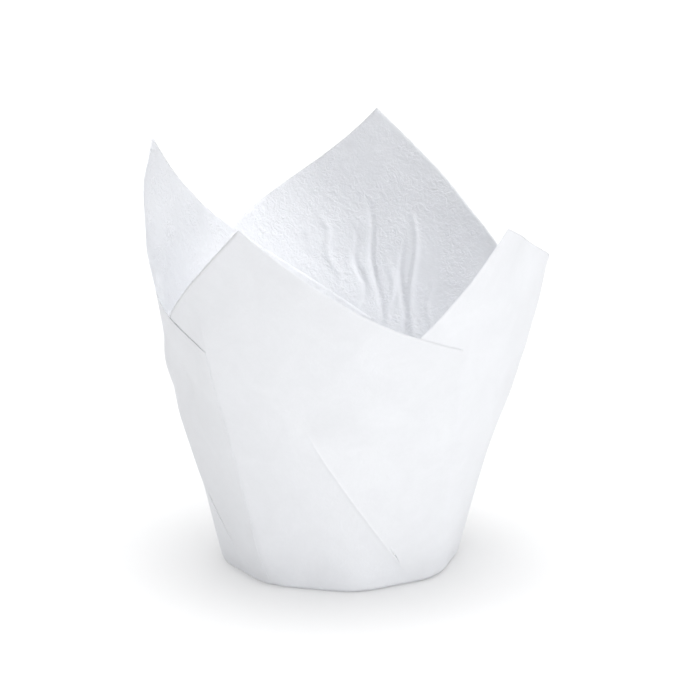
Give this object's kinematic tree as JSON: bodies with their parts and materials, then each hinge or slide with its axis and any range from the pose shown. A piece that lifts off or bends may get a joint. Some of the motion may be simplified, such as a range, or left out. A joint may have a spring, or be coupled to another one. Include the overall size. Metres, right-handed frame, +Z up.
{
  "type": "tulip baking cup",
  "caption": "Flared paper baking cup folded from one square sheet, with a round flat base, pleated wall and pointed petals.",
  "frame": {"origin": "middle of the base's underside, on the surface that the cup stands on", "axes": "+Z up through the open mouth, -Y towards the viewer of the picture, +X to the right"},
  "size_m": [0.0841, 0.0874, 0.0848],
  "materials": {
    "paper": "white greaseproof paper, faintly translucent, with a soft sheen"
  },
  "bodies": {
    "root": {"baking_cup": "paper"}
  },
  "joints": []
}
